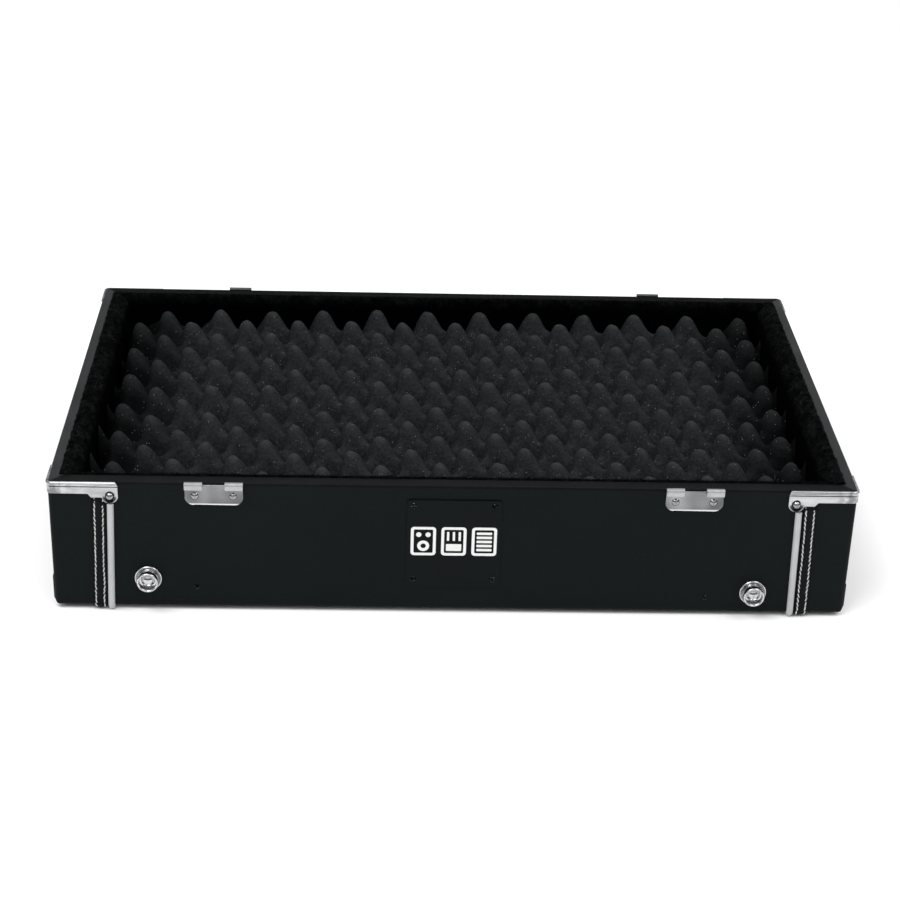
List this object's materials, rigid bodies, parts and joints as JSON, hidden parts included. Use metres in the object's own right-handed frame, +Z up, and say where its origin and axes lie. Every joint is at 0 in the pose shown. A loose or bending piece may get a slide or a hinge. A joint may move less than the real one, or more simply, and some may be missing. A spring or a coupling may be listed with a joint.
{
  "type": "pedalboard case tray",
  "caption": "Open tray of a vinyl-covered plywood pedalboard case, lined with plush and convoluted foam, with slip-hinge halves, feet, corner caps and draw latches.",
  "frame": {"origin": "under the middle of the tray, on the plane its two pipings stand on", "axes": "+X along the long side, +Y from the hinge side to the latch side, +Z up out of the open tray"},
  "size_m": [0.6932, 0.434, 0.1275],
  "materials": {
    "plywood": "raw birch plywood",
    "vinyl": "grained black vinyl covering",
    "seam_vinyl": "padded black vinyl band",
    "piping": "satin light grey extruded bead",
    "trim": "satin black strip",
    "plush": "deep black pile",
    "foam": "charcoal open-cell foam",
    "screw_steel": "bright plated",
    "cap_chrome": "polished",
    "hinge_zinc": "satin zinc plate",
    "foot_nickel": "polished nickel",
    "black_screw": "black oxide",
    "name_plate": "smooth black",
    "latch_chrome": "bright plated"
  },
  "bodies": {
    "case": {"body_cover": "vinyl", "bottom_panel": "plywood", "cleat_screws": "black_screw", "corner_cap_front_left": "cap_chrome", "corner_cap_front_right": "cap_chrome", "corner_cap_rear_left": "cap_chrome", "corner_cap_rear_right": "cap_chrome", "corner_cap_screws": "screw_steel", "end_cover_left": "vinyl", "end_cover_right": "vinyl", "end_guard_left": "vinyl", "end_guard_right": "vinyl", "foam_base": "foam", "foam_pad": "foam", "foot_cup_left": "foot_nickel", "foot_cup_right": "foot_nickel", "foot_flange_left": "foot_nickel", "foot_flange_right": "foot_nickel", "foot_screws": "screw_steel", "front_cleat": "plywood", "front_wall": "plywood", "hinge_half_left": "hinge_zinc", "hinge_half_right": "hinge_zinc", "hinge_screws": "screw_steel", "latch_plate_left": "latch_chrome", "latch_plate_right": "latch_chrome", "latch_screws": "screw_steel", "latch_stubs_left": "latch_chrome", "latch_stubs_right": "latch_chrome", "left_wall": "plywood", "lining_front": "plush", "lining_left": "plush", "lining_rear": "plush", "lining_right": "plush", "name_plate": "name_plate", "name_plate_screws": "black_screw", "piping_left": "piping", "piping_right": "piping", "rear_cleat": "plywood", "rear_wall": "plywood", "right_wall": "plywood", "rim_trim_front": "trim", "rim_trim_left": "trim", "rim_trim_rear": "trim", "rim_trim_right": "trim", "seam_band_left": "seam_vinyl", "seam_band_right": "seam_vinyl"},
    "latch_lever_left": {"latch_lever_left": "latch_chrome", "latch_claw_pin_left": "latch_chrome"},
    "latch_claw_left": {"latch_claw_left": "latch_chrome"},
    "latch_lever_right": {"latch_lever_right": "latch_chrome", "latch_claw_pin_right": "latch_chrome"},
    "latch_claw_right": {"latch_claw_right": "latch_chrome"}
  },
  "joints": [
    {"name": "latch_lever_left_turn", "type": "hinge", "parent": "case", "child": "latch_lever_left", "pos_m": [-0.2086, 0.2126, 0.1035], "axis": [1, 0, 0], "range_deg": [0, 115]},
    {"name": "latch_claw_left_turn", "type": "hinge", "parent": "latch_lever_left", "child": "latch_claw_left", "pos_m": [-0.2086, 0.2116, 0.0965], "axis": [1, 0, 0], "range_deg": [-115, 0]},
    {"name": "latch_lever_right_turn", "type": "hinge", "parent": "case", "child": "latch_lever_right", "pos_m": [0.2086, 0.2126, 0.1035], "axis": [1, 0, 0], "range_deg": [0, 115]},
    {"name": "latch_claw_right_turn", "type": "hinge", "parent": "latch_lever_right", "child": "latch_claw_right", "pos_m": [0.2086, 0.2116, 0.0965], "axis": [1, 0, 0], "range_deg": [-115, 0]}
  ],
  "couplings": [
    {"joint": "latch_claw_left_turn", "follows": "latch_lever_left_turn", "ratio": -1},
    {"joint": "latch_claw_right_turn", "follows": "latch_lever_right_turn", "ratio": -1}
  ]
}
